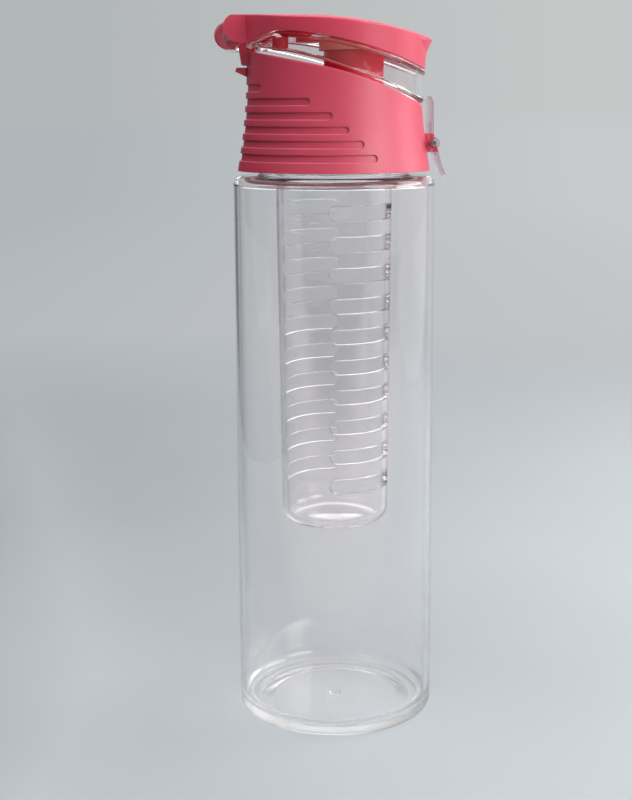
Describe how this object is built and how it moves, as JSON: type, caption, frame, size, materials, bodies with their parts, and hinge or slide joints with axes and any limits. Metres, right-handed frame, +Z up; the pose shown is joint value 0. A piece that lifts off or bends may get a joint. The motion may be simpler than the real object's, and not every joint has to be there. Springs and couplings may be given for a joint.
{
  "type": "fruit infuser water bottle",
  "caption": "Clear drinking bottle with a screw cap, a latched flip lid over a round spout and a slotted fruit basket that hangs inside.",
  "frame": {"origin": "on the bottle's axis, in the plane that its base stands on", "axes": "+Z up along the bottle's axis, +X towards the latch and away from the lid's hinge"},
  "size_m": [0.0809, 0.072, 0.2544],
  "materials": {
    "body_clear": "clear",
    "basket_clear": "clear",
    "lid_clear": "clear",
    "latch_clear": "clear",
    "cap_pink": "fine satin",
    "cover_pink": "fine satin",
    "spout_pink": "gloss",
    "gasket_silicone": "soft translucent white",
    "seal_silicone": "soft",
    "pin_steel": "plain"
  },
  "bodies": {
    "bottle": {"bottle_body": "body_clear"},
    "gasket": {"cap_gasket": "gasket_silicone"},
    "cap": {"collar": "cap_pink", "inner_cap": "spout_pink", "hinge_pin": "pin_steel", "latch_pin": "pin_steel"},
    "lid": {"lid_shell": "lid_clear", "lid_cover": "cover_pink", "spout_seal": "seal_silicone"},
    "latch": {"latch_lever": "latch_clear"},
    "infuser": {"infuser_basket": "basket_clear"}
  },
  "joints": [
    {"name": "cap_lift", "type": "slide", "parent": "bottle", "child": "gasket", "axis": [0, 0, 1], "range_m": [0, 0.005]},
    {"name": "cap_turn", "type": "hinge", "parent": "gasket", "child": "cap", "pos_m": [0, 0, 0.207], "axis": [0, 0, 1], "range_deg": [0, 450]},
    {"name": "lid_hinge", "type": "hinge", "parent": "cap", "child": "lid", "pos_m": [-0.0363, 0, 0.247], "axis": [0, -1, 0], "range_deg": [0, 180]},
    {"name": "latch_tilt", "type": "hinge", "parent": "cap", "child": "latch", "pos_m": [0.0352, 0, 0.2102], "axis": [0, 1, 0], "range_deg": [0, 10]},
    {"name": "basket_turn", "type": "hinge", "parent": "cap", "child": "infuser", "pos_m": [0, 0, 0.207], "axis": [0, 0, 1], "range_deg": [0, 35]}
  ],
  "couplings": [
    {"joint": "cap_lift", "follows": "cap_turn", "m_per_rad": 0.00063662}
  ]
}
